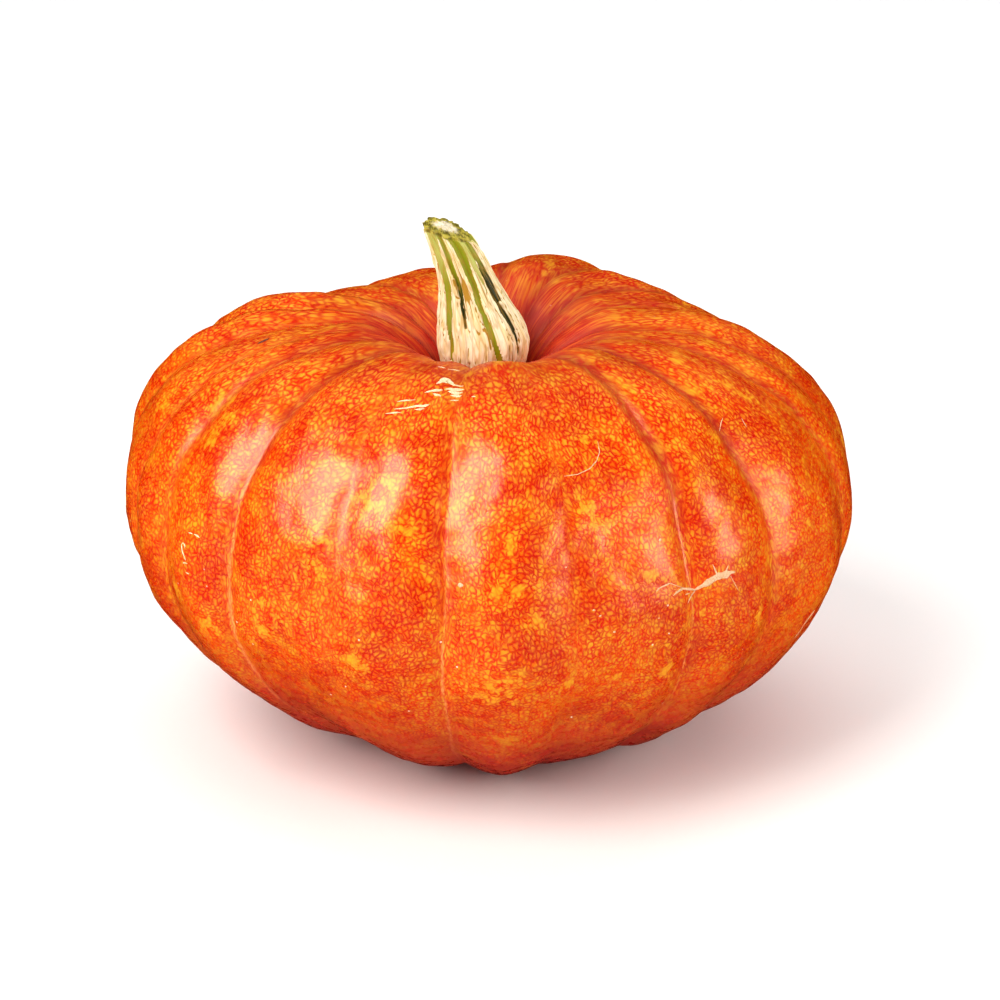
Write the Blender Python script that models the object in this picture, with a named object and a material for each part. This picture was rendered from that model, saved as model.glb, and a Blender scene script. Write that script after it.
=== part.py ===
# A squat ribbed pumpkin with its corky stalk, standing on the flattened undersides of its ribs.
# Lengths are metres, angles are degrees, +Z is up and the front view looks along +Y.
import math

import bmesh
import bpy
import numpy as np

MM = 0.001
GAP = 0.0003

# Where the axis of the fruit stands, which puts the middle of the whole box over the origin
AXIS_X = 0.00195
AXIS_Y = 0.00505

# Body of the fruit. A station runs down its profile: -1 middle of the stalk hollow, 0 edge of
# the seat, 1 crest, 2 widest girth, 3 ring that it stands on, 4 middle of the blossom dent.
BODY_RADIUS = 0.139
CREST_RADIUS = 0.054
CREST_HEIGHT = 0.1675
GIRTH_HEIGHT = 0.092
SEAT_RADIUS = 0.016
SEAT_DEPTH = 0.036
SEAT_OFFSET = -0.0045
OFFSET_STATIONS = (0.0, 1.0, 2.0)
OFFSET_SHARES = (1.0, 0.5, 0.0)
STAND_RADIUS = 0.040
DENT_DEPTH = 0.005
FLAT_CUT = 0.0015

# Roundness of each stretch of the profile: 2 is an ellipse, more is squarer, less is leaner
HOLLOW_POWER = 1.8
SHOULDER_POWER = 2.16
BELLY_POWER = 1.72

# How the fruit departs from a round one: (cosine, sine) of once, twice and three times round
GIRTH_WAVES = ((-0.025, -0.005), (0.058, -0.006), (0.010, 0.020))
CREST_RADIUS_WAVES = ((0.0, -0.005),)
CREST_HEIGHT_WAVES = ((0.001, 0.0), (-0.0023, 0.002), (-0.0018, -0.0018))
GIRTH_HEIGHT_WAVES = ((0.0, 0.0085),)
SHOULDER_WAVES = ((-0.14, 0.0),)
BELLY_WAVES = ((0.065, 0.0),)

# Each rib: azimuth of the groove that starts it, then in millimetres the depth of that groove
# and how far the crown of the rib swells above the girth and below it
RIBS = (
    (-166, 5, 0, 0),
    (-153, 5, 0, 0),
    (-136, 7, 0, -4),
    (-116, 2.5, 1, 0.5),
    (-98, 5, 1, 3),
    (-77, 2.5, -3.5, -1),
    (-56, 7, -0.5, 0),
    (-38, 6, 0, 0.5),
    (-11, 6, -1, -2),
    (3, 5, 1, 2),
    (24, 5, -3, 0.5),
    (38, 5, -2, 0),
    (57, 5, 1.5, 0),
    (84, 5, -5, 0),
    (104, 5, -1, 0),
    (124, 5, -1, 0),
    (140, 5, 5, 0.5),
    (158, 5, 4, -1.5),
    (176, 5, -0.5, -2.5),
)
GROOVE_SHARPNESS = 0.6
GROOVE_ROUND = 0.12
SWELL_SHARPNESS = 1.5

# Share of a rib's groove and of its swell that shows at each station
GROOVE_STATIONS = (0.0, 0.5, 1.0, 1.35, 1.7, 2.0, 2.5, 3.0, 4.0)
GROOVE_SHARES = (0.0, 0.35, 0.5, 0.9, 1.0, 0.9, 0.7, 0.25, 0.0)
SWELL_STATIONS = (0.0, 1.0, 1.4, 2.6, 3.0, 4.0)
SWELL_SHARES = (0.0, 0.6, 1.0, 1.0, 0.3, 0.0)
UPPER_STATION = 1.4
LOWER_STATION = 2.3

# Mesh of the fruit: rings of the sphere that it starts as, and the stations they are led to
COLUMNS_PER_RIB = 7
RING_COUNTS = (0, 2, 10, 19, 28, 33)
RING_STATIONS = (-1.0, 0.0, 1.0, 2.0, 3.0, 4.0)

# Step along the stations that the direction of the profile is read from, and its least length
NORMAL_STEP = 0.001
LEAST_LENGTH = 1e-9

# Stalk, from its foot on the seat to its cut end
STALK_TOP = 0.2057
STALK_CUT_RADIUS = 0.0096
STALK_TAPER = 0.0044
STALK_SWELL = 0.0056
STALK_SWELL_AT = 0.38
STALK_SWELL_SPREAD = 0.21
STALK_LEAN = 0.0267
STALK_LEAN_POWER = 1.27
CUT_DISH = 0.0015
CUT_INSETS = (0.25, 0.6)

# How far the cut end falls away on its low side, where that side is, how narrow it is, and how
# fast the slant fades down the stalk
CUT_SLANT = 0.0055
CUT_TURN = -10
CUT_SLANT_NARROWNESS = 1.6
CUT_SLANT_POWER = 7

# Furrows between the ridges of the stalk
FURROW_AZIMUTHS = (-170, -133, -108, -74, -36, 5, 42, 78, 115, 152)
FURROW_DEPTH = 0.0016
FURROW_SHARPNESS = 0.7
STALK_COLUMNS_PER_RIDGE = 5
STALK_RINGS = 20

SKIN_COLOUR = (0.80, 0.13, 0.015, 1.0)
SKIN_ROUGHNESS = 0.38
BARK_COLOUR = (0.72, 0.58, 0.33, 1.0)
BARK_ROUGHNESS = 0.85


def around(azimuth, mean, waves):
    """The mean plus a cosine and a sine wave for each whole number of turns."""
    value = mean + 0.0 * azimuth
    for turns, (cosine, sine) in enumerate(waves, start=1):
        value = value + cosine * np.cos(turns * azimuth) + sine * np.sin(turns * azimuth)
    return value


def lobe_azimuth(starts, lobe, share):
    """The azimuth in radians at a share of the way across a lobe, such as a rib or a ridge."""
    starts = np.array(starts, dtype=float)
    widths = np.diff(np.append(starts, starts[0] + 360))
    return np.radians(starts[lobe] + widths[lobe] * share)


def quarter(share, power):
    """A quarter of a superellipse: how far it has gone along each of its two axes."""
    angle = share * math.pi / 2
    return np.sin(angle) ** (2 / power), 1 - np.cos(angle) ** (2 / power)


def profile(azimuth, station):
    """Radius and height of the smooth body, without its ribs."""
    girth = BODY_RADIUS * (1 + around(azimuth, 0.0, GIRTH_WAVES))
    girth_height = around(azimuth, GIRTH_HEIGHT, GIRTH_HEIGHT_WAVES)
    crest = around(azimuth, CREST_RADIUS, CREST_RADIUS_WAVES)
    crest_height = around(azimuth, CREST_HEIGHT, CREST_HEIGHT_WAVES)
    seat_height = CREST_HEIGHT - SEAT_DEPTH

    floor = np.clip(station + 1, 0, 1)
    hollow_up, hollow_out = quarter(np.clip(station, 0, 1), HOLLOW_POWER)
    shoulder_out, shoulder_down = quarter(
        np.clip(station - 1, 0, 1), around(azimuth, SHOULDER_POWER, SHOULDER_WAVES)
    )
    belly_down, belly_in = quarter(
        np.clip(station - 2, 0, 1), around(azimuth, BELLY_POWER, BELLY_WAVES)
    )
    dent = np.clip(station - 3, 0, 1)

    stretches = [station < 0, station < 1, station < 2, station < 3]
    radius = np.select(
        stretches,
        [
            SEAT_RADIUS * floor,
            SEAT_RADIUS + (crest - SEAT_RADIUS) * hollow_out,
            crest + (girth - crest) * shoulder_out,
            girth - (girth - STAND_RADIUS) * belly_in,
        ],
        STAND_RADIUS * (1 - dent),
    )
    height = np.select(
        stretches,
        [
            seat_height + 0.0 * azimuth,
            seat_height + (crest_height - seat_height) * hollow_up,
            crest_height - (crest_height - girth_height) * shoulder_down,
            girth_height * (1 - belly_down),
        ],
        DENT_DEPTH * (1 - np.cos(math.pi * dent)) / 2,
    )
    return radius, height


def rib_relief(rib, share, station):
    """How far the skin stands out of the smooth body, at a share of the way across a rib."""
    depths, upper_swells, lower_swells = (MM * np.array(RIBS, dtype=float)[:, 1:]).T
    nearest_depth = np.where(share < 0.5, depths[rib], depths[(rib + 1) % len(RIBS)])
    blend = np.interp(station, (UPPER_STATION, LOWER_STATION), (0.0, 1.0))
    swell = upper_swells[rib] * (1 - blend) + lower_swells[rib] * blend
    arch = np.sin(math.pi * share)
    soft_arch = np.hypot(arch, GROOVE_ROUND) / math.hypot(1, GROOVE_ROUND)
    groove = nearest_depth * (1 - soft_arch**GROOVE_SHARPNESS)
    groove *= np.interp(station, GROOVE_STATIONS, GROOVE_SHARES)
    swell = swell * arch**SWELL_SHARPNESS * np.interp(station, SWELL_STATIONS, SWELL_SHARES)
    return swell - groove


def skin(rib, share, station):
    """Points of the ribbed skin: the smooth profile, moved along its own normal by the ribs."""
    azimuth = lobe_azimuth([row[0] for row in RIBS], rib, share)
    radius, height = profile(azimuth, station)
    after = np.minimum(station + NORMAL_STEP, RING_STATIONS[-1])
    before = np.maximum(station - NORMAL_STEP, RING_STATIONS[0])
    radius_after, height_after = profile(azimuth, after)
    radius_before, height_before = profile(azimuth, before)
    outwards = radius_after - radius_before
    upwards = height_after - height_before
    length = np.maximum(np.hypot(outwards, upwards), LEAST_LENGTH)

    relief = rib_relief(rib, share, station)
    radius = radius - upwards / length * relief
    height = np.maximum(height + outwards / length * relief - FLAT_CUT, 0.0)
    shift = SEAT_OFFSET * np.interp(station, OFFSET_STATIONS, OFFSET_SHARES)
    x = AXIS_X + shift + radius * np.cos(azimuth)
    y = AXIS_Y + radius * np.sin(azimuth)
    return np.stack([x, y, height], axis=1)


def new_material(name, colour, roughness):
    material = bpy.data.materials.new(name)
    material.use_nodes = True
    shader = material.node_tree.nodes["Principled BSDF"]
    shader.inputs["Base Color"].default_value = colour
    shader.inputs["Roughness"].default_value = roughness
    shader.inputs["Metallic"].default_value = 0.0
    return material


def new_object(name, bm, material, collection):
    mesh = bpy.data.meshes.new(name)
    bm.to_mesh(mesh)
    bm.free()
    mesh.shade_smooth()
    mesh.materials.append(material)
    piece = bpy.data.objects.new(name, mesh)
    collection.objects.link(piece)
    return piece


def make_fruit(collection):
    """A sphere whose meridians are led to the ribs and whose rings are led to the stations."""
    columns = COLUMNS_PER_RIB * len(RIBS)
    rings = RING_COUNTS[-1]
    bm = bmesh.new()
    bmesh.ops.create_uvsphere(bm, u_segments=columns, v_segments=rings, radius=1.0)
    places = np.array([vertex.co for vertex in bm.verts])
    turn = np.degrees(np.arctan2(places[:, 1], places[:, 0])) % 360
    column = np.round(turn * columns / 360).astype(int) % columns
    ring = np.round(np.arccos(np.clip(places[:, 2], -1, 1)) * rings / math.pi)
    station = np.interp(ring, RING_COUNTS, RING_STATIONS)
    rib, step = np.divmod(column, COLUMNS_PER_RIB)
    for vertex, point in zip(bm.verts, skin(rib, step / COLUMNS_PER_RIB, station)):
        vertex.co = point
    material = new_material("pumpkin_skin", SKIN_COLOUR, SKIN_ROUGHNESS)
    return new_object("fruit", bm, material, collection)


def stalk_section(share, inset=0.0):
    """One furrowed ring of the stalk at a share of its height, drawn in by an inset share."""
    columns = STALK_COLUMNS_PER_RIDGE * len(FURROW_AZIMUTHS)
    ridge, step = np.divmod(np.arange(columns), STALK_COLUMNS_PER_RIDGE)
    across = step / STALK_COLUMNS_PER_RIDGE
    azimuth = lobe_azimuth(FURROW_AZIMUTHS, ridge, across)

    swelling = math.exp(-(((share - STALK_SWELL_AT) / STALK_SWELL_SPREAD) ** 2))
    radius = STALK_CUT_RADIUS + STALK_TAPER * (1 - share) + STALK_SWELL * swelling
    furrow = FURROW_DEPTH * (1 - np.sin(math.pi * across) ** FURROW_SHARPNESS)
    reach = (radius - furrow) * (1 - inset)

    lean = STALK_LEAN * max(0.0, share - STALK_SWELL_AT) ** STALK_LEAN_POWER
    foot = CREST_HEIGHT - SEAT_DEPTH - FLAT_CUT + GAP
    low_side = ((1 + np.cos(azimuth - math.radians(CUT_TURN))) / 2) ** CUT_SLANT_NARROWNESS
    slant = CUT_SLANT * share**CUT_SLANT_POWER * low_side
    height = foot + (STALK_TOP - foot) * share - slant * (1 - inset) - CUT_DISH * inset
    x = AXIS_X + SEAT_OFFSET - lean + reach * np.cos(azimuth)
    y = AXIS_Y + reach * np.sin(azimuth)
    return np.stack([x, y, height], axis=1)


def make_stalk(collection):
    """A loft through unlike furrowed rings, from the foot over the swelling to the dished cut."""
    sections = [stalk_section(ring / STALK_RINGS) for ring in range(STALK_RINGS + 1)]
    sections += [stalk_section(1.0, inset) for inset in CUT_INSETS]
    bm = bmesh.new()
    rings = [[bm.verts.new(point) for point in section] for section in sections]
    columns = len(rings[0])
    for lower, upper in zip(rings, rings[1:]):
        for i in range(columns):
            j = (i + 1) % columns
            bm.faces.new((lower[i], lower[j], upper[j], upper[i]))
    bm.faces.new(list(reversed(rings[0])))
    bm.faces.new(rings[-1])
    material = new_material("stalk_bark", BARK_COLOUR, BARK_ROUGHNESS)
    return new_object("stalk", bm, material, collection)


def main():
    for leftover in list(bpy.data.objects):
        bpy.data.objects.remove(leftover)
    collection = bpy.data.collections.new("pumpkin")
    bpy.context.scene.collection.children.link(collection)
    make_fruit(collection)
    make_stalk(collection)


main()
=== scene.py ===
import math

import bpy
import numpy as np
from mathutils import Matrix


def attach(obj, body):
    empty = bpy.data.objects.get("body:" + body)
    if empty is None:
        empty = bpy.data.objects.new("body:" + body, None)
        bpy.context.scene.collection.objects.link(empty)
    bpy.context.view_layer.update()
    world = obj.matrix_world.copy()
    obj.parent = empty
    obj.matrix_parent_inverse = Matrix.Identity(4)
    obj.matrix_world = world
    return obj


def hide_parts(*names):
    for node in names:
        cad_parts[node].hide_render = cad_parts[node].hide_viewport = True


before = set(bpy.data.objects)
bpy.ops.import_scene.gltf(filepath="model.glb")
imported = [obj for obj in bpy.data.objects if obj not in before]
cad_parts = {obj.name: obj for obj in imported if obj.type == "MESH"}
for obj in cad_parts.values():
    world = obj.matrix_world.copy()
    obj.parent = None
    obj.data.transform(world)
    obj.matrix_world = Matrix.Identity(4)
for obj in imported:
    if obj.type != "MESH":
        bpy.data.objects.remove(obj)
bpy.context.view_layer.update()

# A squat ribbed pumpkin with a corky stalk. Lengths are metres, and the front view looks along +Y.
mm = 0.001
print("frame loaded:", sorted(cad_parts))


def easeBetween(low, high, value):
    # 0 up to low, 1 from high on, and an S curve between them
    share = np.clip((value - low) / (high - low), 0, 1)
    return share * share * (3 - 2 * share)


def rollingNoise(points, wavelength, seed, waves=24):
    # the sum of sine waves that run in random directions, which comes to about -1 to 1
    random = np.random.default_rng(seed)
    heading = random.normal(size=(3, waves))
    heading *= 2 * math.pi / (wavelength * np.linalg.norm(heading, axis=0))
    heading *= random.uniform(0.7, 1.4, waves)
    phases = random.uniform(0, 2 * math.pi, waves)
    return np.sin(points @ heading + phases).sum(axis=-1) / math.sqrt(waves)


def latticeNoise(across, along, columns, rows, seed):
    # random numbers on a lattice that closes on itself across, eased from corner to corner
    lattice = np.random.default_rng(seed).random((columns, rows + 2))
    x, y = across * columns, np.clip(along, 0, 1) * rows
    i, j = np.floor(x).astype(int), np.floor(y).astype(int)
    right, up = easeBetween(0, 1, x - i), easeBetween(0, 1, y - j)
    i, beside = i % columns, (i + 1) % columns
    low = lattice[i, j] * (1 - right) + lattice[beside, j] * right
    high = lattice[i, j + 1] * (1 - right) + lattice[beside, j + 1] * right
    return low * (1 - up) + high * up


def tubeFaces(rings, columns, start=0):
    # quads between neighbouring rings and a fan from each end ring to its pole, facing outwards
    ring = start + np.arange(rings * columns).reshape(rings, columns)
    beside = np.roll(ring, -1, axis=1)
    quads = np.stack([ring[:-1], beside[:-1], beside[1:], ring[1:]], axis=-1).reshape(-1, 4)
    firstPole = np.full(columns, start + rings * columns)
    firstFan = np.stack([beside[0], ring[0], firstPole], axis=-1)
    lastFan = np.stack([ring[-1], beside[-1], firstPole + 1], axis=-1)
    return quads.tolist() + firstFan.tolist() + lastFan.tolist()


def withPoles(values):
    # the values of a grid of rings as one list, then the mean of the first ring and of the last
    flat = values.reshape(-1, *values.shape[2:])
    return np.concatenate([flat, values[:1].mean(axis=1), values[-1:].mean(axis=1)])


def newPiece(name, points, faces, material, slot, replaced=None, **attributes):
    # a smooth mesh with one value or vector of each attribute for every point
    mesh = bpy.data.meshes.new(name)
    mesh.from_pydata(points.tolist(), [], faces)
    for key, values in attributes.items():
        isVector = values.ndim == 2
        layer = mesh.attributes.new(key, "FLOAT_VECTOR" if isVector else "FLOAT", "POINT")
        layer.data.foreach_set("vector" if isVector else "value", values.astype(np.float32).ravel())
    mesh.materials.append(material)
    mesh.shade_smooth()
    piece = bpy.data.objects.new(name, mesh)
    bpy.context.scene.collection.objects.link(piece)
    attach(piece, "root")
    if replaced:
        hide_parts(replaced)
    return piece


def linearColour(code):
    # the linear red, green and blue of a six-digit screen colour, and a full alpha
    channels = [int(code[i:i + 2], 16) / 255 for i in (0, 2, 4)]
    curved = [c / 12.92 if c <= 0.04045 else ((c + 0.055) / 1.055) ** 2.4 for c in channels]
    return (*curved, 1.0)


def addNode(tree, kind, inputs, **settings):
    # a node whose inputs are either linked from another node or set
    made = tree.nodes.new("ShaderNode" + kind)
    for key, value in settings.items():
        setattr(made, key, value)
    for key, value in inputs.items():
        if isinstance(value, bpy.types.NodeSocket):
            tree.links.new(value, made.inputs[key])
        else:
            made.inputs[key].default_value = value
    return made


def calculate(tree, operation, *values):
    # the result of one Math node
    return addNode(tree, "Math", dict(enumerate(values)), operation=operation).outputs[0]


def remap(tree, value, low, high, toLow=0.0, toHigh=1.0):
    # an S curve from toLow to toHigh as the value goes from low to high
    inputs = {0: value, 1: low, 2: high, 3: toLow, 4: toHigh}
    return addNode(tree, "MapRange", inputs, interpolation_type="SMOOTHSTEP").outputs[0]


def blendColours(tree, share, first, second, way="MIX"):
    # the first colour at share 0, the second, or what it makes of the first, at share 1
    inputs = {0: share, 6: first, 7: second}
    return addNode(tree, "Mix", inputs, data_type="RGBA", blend_type=way).outputs[2]


def readAttribute(tree, name, output="Fac"):
    return addNode(tree, "Attribute", {}, attribute_name=name).outputs[output]


def shiftedByNoise(tree, vector, scale, reach):
    # the vector moved each way by up to about a third of the reach
    noise = addNode(tree, "TexNoise", {"Vector": vector, "Scale": scale, "Detail": 2.0})
    centred = addNode(tree, "VectorMath", {0: noise.outputs["Color"], 1: (0.5, 0.5, 0.5)},
                      operation="SUBTRACT").outputs[0]
    stretched = addNode(tree, "VectorMath", {0: centred, "Scale": reach}, operation="SCALE").outputs[0]
    return addNode(tree, "VectorMath", {0: vector, 1: stretched}, operation="ADD").outputs[0]


def newGroup(name, inputs, output):
    # an empty node group with its sockets, and the sockets inside it
    tree = bpy.data.node_groups.new(name, "ShaderNodeTree")
    for label, value in inputs.items():
        kind = "NodeSocketVector" if label == "Vector" else "NodeSocketFloat"
        socket = tree.interface.new_socket(name=label, in_out="INPUT", socket_type=kind)
        if label != "Vector":
            socket.default_value = value
    tree.interface.new_socket(name=output, in_out="OUTPUT", socket_type="NodeSocketFloat")
    return tree, tree.nodes.new("NodeGroupInput").outputs, tree.nodes.new("NodeGroupOutput").inputs


def makePatchyTone():
    # a soft noise, eased from 0 at Low to 1 at High
    tree, given, result = newGroup(
        "patchyTone", {"Vector": None, "Scale": 50.0, "Detail": 3.0, "Low": 0.4, "High": 0.6}, "Tone")
    noise = addNode(tree, "TexNoise", {"Vector": given["Vector"], "Scale": given["Scale"],
                                       "Detail": given["Detail"], "Roughness": 0.55})
    tree.links.new(remap(tree, noise.outputs["Fac"], given["Low"], given["High"]), result["Tone"])
    return tree


def makeStrokeNet(name, dimensions):
    # the edges between cells of about 1 / Scale, bent by a finer noise: 1 on a line, 0 inside
    tree, given, result = newGroup(
        name, {"Vector": None, "Scale": 600.0, "Wander": 1.2, "Line": 0.16}, "Net")
    reach = calculate(tree, "DIVIDE", given["Wander"], given["Scale"])
    finer = calculate(tree, "MULTIPLY", given["Scale"], 0.8)
    bent = shiftedByNoise(tree, given["Vector"], finer, reach)
    cells = addNode(tree, "TexVoronoi", {"Vector": bent, "Scale": given["Scale"]},
                    feature="DISTANCE_TO_EDGE", voronoi_dimensions=dimensions)
    edge = remap(tree, cells.outputs["Distance"], 0.02, given["Line"], 1.0, 0.0)
    tree.links.new(edge, result["Net"])
    return tree


def makeLooseSpecks():
    # round specks of the given Size in cells, in the given Share of the cells
    tree, given, result = newGroup(
        "looseSpecks", {"Vector": None, "Scale": 200.0, "Size": 0.15, "Share": 0.1}, "Speck")
    cells = addNode(tree, "TexVoronoi", {"Vector": given["Vector"], "Scale": given["Scale"]})
    chance = addNode(tree, "SeparateColor", {"Color": cells.outputs["Color"]}).outputs[0]
    picked = calculate(tree, "LESS_THAN", chance, given["Share"])
    near = calculate(tree, "LESS_THAN", cells.outputs["Distance"], given["Size"])
    tree.links.new(calculate(tree, "MULTIPLY", picked, near), result["Speck"])
    return tree


groups = {"tone": makePatchyTone(), "specks": makeLooseSpecks(),
          "net": makeStrokeNet("strokeNet", "3D"), "flatNet": makeStrokeNet("flatNet", "2D")}


def useGroup(tree, group, vector, **values):
    # a shared effect placed in a material with its own values
    made = tree.nodes.new("ShaderNodeGroup")
    made.node_tree = groups[group]
    tree.links.new(vector, made.inputs["Vector"])
    for key, value in values.items():
        made.inputs[key].default_value = value
    return made.outputs[0]


def newMaterial(name, roughness, ior=1.5, specular=0.5):
    material = bpy.data.materials.new(name)
    material.use_nodes = True
    shader = material.node_tree.nodes["Principled BSDF"]
    shader.inputs["Metallic"].default_value = 0.0
    shader.inputs["Roughness"].default_value = roughness
    shader.inputs["IOR"].default_value = ior
    shader.inputs["Specular IOR Level"].default_value = specular
    return material, material.node_tree, shader


def finishMaterial(tree, shader, colour, roughness, height, bumpStrength, bumpDistance):
    # colour and roughness go straight to the shader, the height through one Bump node
    bump = addNode(tree, "Bump", {"Height": height, "Strength": bumpStrength,
                                  "Distance": bumpDistance})
    tree.links.new(colour, shader.inputs["Base Color"])
    tree.links.new(roughness, shader.inputs["Roughness"])
    tree.links.new(bump.outputs["Normal"], shader.inputs["Normal"])


fruit = {
    "axis": (0.00195, 0.00505),
    "bodyRadius": 0.139, "crestRadius": 0.054, "crestHeight": 0.1675, "girthHeight": 0.092,
    "seatRadius": 0.016, "seatDepth": 0.036, "seatOffset": -0.0045,
    "standRadius": 0.040, "dentDepth": 0.005, "flatCut": 0.0015,
    "hollowPower": 1.8, "shoulderPower": 2.16, "bellyPower": 1.72,  # 2 is an ellipse
    # cosine and sine shares of once, twice and three times round
    "girthWaves": ((-0.025, -0.005), (0.058, -0.006), (0.010, 0.020)),
    "crestRadiusWaves": ((0.0, -0.005),),
    "crestHeightWaves": ((0.001, 0.0), (-0.0023, 0.002), (-0.0018, -0.0018)),
    "girthHeightWaves": ((0.0, 0.0085),),
    "shoulderWaves": ((-0.14, 0.0),),
    "bellyWaves": ((0.065, 0.0),),
    # each rib: azimuth of its first groove, millimetres of groove depth, upper swell and lower
    # swell, how pale the line in its lower part is and how strong its upper groove's painted red shade
    # is
    "ribs": (
        (-166, 5, 0, 0, 0.2, 0.6), (-153, 5, 0, 0, 0.2, 0.6), (-136, 7, 0, -4, 1.5, 0.7),
        (-116, 2.5, 1, 0.5, 0.25, 0.1), (-98, 5, 1, 3, 0.9, 0.15),
        (-77, 2.5, -3.5, -1, 0.25, 0.1), (-56, 7, -0.5, 0, 0.55, 0.9), (-38, 6, 0, 0.5, 0.4, 0.9),
        (-11, 6, -1, -2, 0.3, 0.7), (3, 5, 1, 2, 0.4, 0.6), (24, 5, -3, 0.5, 0.2, 0.4),
        (38, 5, -2, 0, 0.6, 0.7), (57, 5, 1.5, 0, 0.3, 0.5), (84, 5, -5, 0, 0.8, 0.8),
        (104, 5, -1, 0, 0.3, 0.4), (124, 5, -1, 0, 0.5, 0.6), (140, 5, 5, 0.5, 0.2, 0.3),
        (158, 5, 4, -1.5, 0.7, 0.6), (176, 5, -0.5, -2.5, 0.3, 0.4),
    ),
    "grooveSharpness": 0.6, "swellSharpness": 1.5, "grooveRound": 0.12,
    "grooveStations": (0, 0.5, 1, 1.35, 1.7, 2, 2.5, 3, 4),
    "grooveShares": (0, 0.35, 0.5, 0.9, 1.0, 0.9, 0.7, 0.25, 0),
    "swellStations": (0, 1, 1.4, 2.6, 3, 4),
    "swellShares": (0, 0.6, 1.0, 1.0, 0.3, 0),
    "swellBlend": (1.4, 2.3),
    "columns": 476, "columnGather": 0.5,
    "patternWidth": (1.0, 0.7), "patternLength": (1.35, 0.1), "patternOffset": 0.1,
    # rings in each stretch: dent, belly, shoulder, hollow, seat
    "ringStations": (4, 3, 2, 1, 0, -1), "ringCounts": (18, 72, 66, 38, 8),
    "wander": math.radians(0.5), "wanderLength": 0.045,
    "broadUneven": 0.0005, "broadLength": 0.032, "fineUneven": 0.00012, "fineLength": 0.010,
    "wrinkle": 0.00035, "wrinkleColumns": 150, "wrinkleRows": 9,
    "paleStations": (1.55, 1.95, 2.8, 3.0),  # where pale lines begin, are full, fade and end
    "redStations": (1.95, 1.4),
    "deepFrom": 1.5, "deepSpan": 4,  # millimetres of groove depth
}
ribRows = np.array(fruit["ribs"], dtype=float)
ribWidths = np.diff(np.append(ribRows[:, 0], ribRows[0, 0] + 360))


def aroundAxis(azimuth, mean, waves):
    # the mean plus a cosine and a sine wave for each whole number of turns
    value = mean + 0 * azimuth
    for turns, (cosine, sine) in enumerate(waves, start=1):
        value = value + cosine * np.cos(turns * azimuth) + sine * np.sin(turns * azimuth)
    return value


def quarterCurve(share, power):
    # a quarter of a superellipse: how far it has gone along each of its two axes
    angle = share * math.pi / 2
    return np.sin(angle) ** (2 / power), 1 - np.cos(angle) ** (2 / power)


def bodyProfile(azimuth, station):
    # radius and height of the smooth body, whose stations are joined by superellipse quarters:
    # -1 middle of the hollow, 0 seat, 1 crest, 2 girth, 3 standing ring, 4 middle of the dent
    girth = fruit["bodyRadius"] * (1 + aroundAxis(azimuth, 0, fruit["girthWaves"]))
    girthHeight = aroundAxis(azimuth, fruit["girthHeight"], fruit["girthHeightWaves"])
    crest = aroundAxis(azimuth, fruit["crestRadius"], fruit["crestRadiusWaves"])
    crestHeight = aroundAxis(azimuth, fruit["crestHeight"], fruit["crestHeightWaves"])
    seatHeight = fruit["crestHeight"] - fruit["seatDepth"]
    hollowUp, hollowOut = quarterCurve(np.clip(station, 0, 1), fruit["hollowPower"])
    shoulderOut, shoulderDown = quarterCurve(
        np.clip(station - 1, 0, 1),
        aroundAxis(azimuth, fruit["shoulderPower"], fruit["shoulderWaves"]))
    bellyDown, bellyIn = quarterCurve(
        np.clip(station - 2, 0, 1), aroundAxis(azimuth, fruit["bellyPower"], fruit["bellyWaves"]))
    dent = np.clip(station - 3, 0, 1)
    stretches = [station < 0, station < 1, station < 2, station < 3]
    radius = np.select(stretches, [
        fruit["seatRadius"] * np.clip(station + 1, 0, 1),
        fruit["seatRadius"] + (crest - fruit["seatRadius"]) * hollowOut,
        crest + (girth - crest) * shoulderOut,
        girth - (girth - fruit["standRadius"]) * bellyIn,
    ], fruit["standRadius"] * (1 - dent))
    height = np.select(stretches, [
        seatHeight + 0 * azimuth,
        seatHeight + (crestHeight - seatHeight) * hollowUp,
        crestHeight - (crestHeight - girthHeight) * shoulderDown,
        girthHeight * (1 - bellyDown),
    ], fruit["dentDepth"] * (1 - np.cos(math.pi * dent)) / 2)
    return radius, height


def ribPlace(azimuth):
    # which rib an azimuth lies on, and how far across it
    turned = np.mod(np.degrees(azimuth) - ribRows[0, 0], 360) + ribRows[0, 0]
    rib = np.clip(np.searchsorted(ribRows[:, 0], turned, side="right") - 1, 0, len(ribRows) - 1)
    return rib, (turned - ribRows[rib, 0]) / ribWidths[rib]


def nearestGroove(rib, share):
    # the rib whose first groove is nearest to a place on the given rib
    return np.where(share < 0.5, rib, (rib + 1) % len(ribRows))


def ribRelief(azimuth, station):
    # swell of the rib's crown less its groove, each with its own share at each station
    rib, share = ribPlace(azimuth)
    depth = ribRows[nearestGroove(rib, share), 1] * mm
    blend = np.interp(station, fruit["swellBlend"], (0, 1))
    swell = (ribRows[rib, 2] * (1 - blend) + ribRows[rib, 3] * blend) * mm
    arch = np.sin(math.pi * share)
    softArch = np.sqrt(arch**2 + fruit["grooveRound"] ** 2) / math.hypot(1, fruit["grooveRound"])
    groove = depth * (1 - softArch ** fruit["grooveSharpness"])
    groove = groove * np.interp(station, fruit["grooveStations"], fruit["grooveShares"])
    swellShare = np.interp(station, fruit["swellStations"], fruit["swellShares"])
    return swell * arch ** fruit["swellSharpness"] * swellShare - groove


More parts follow.
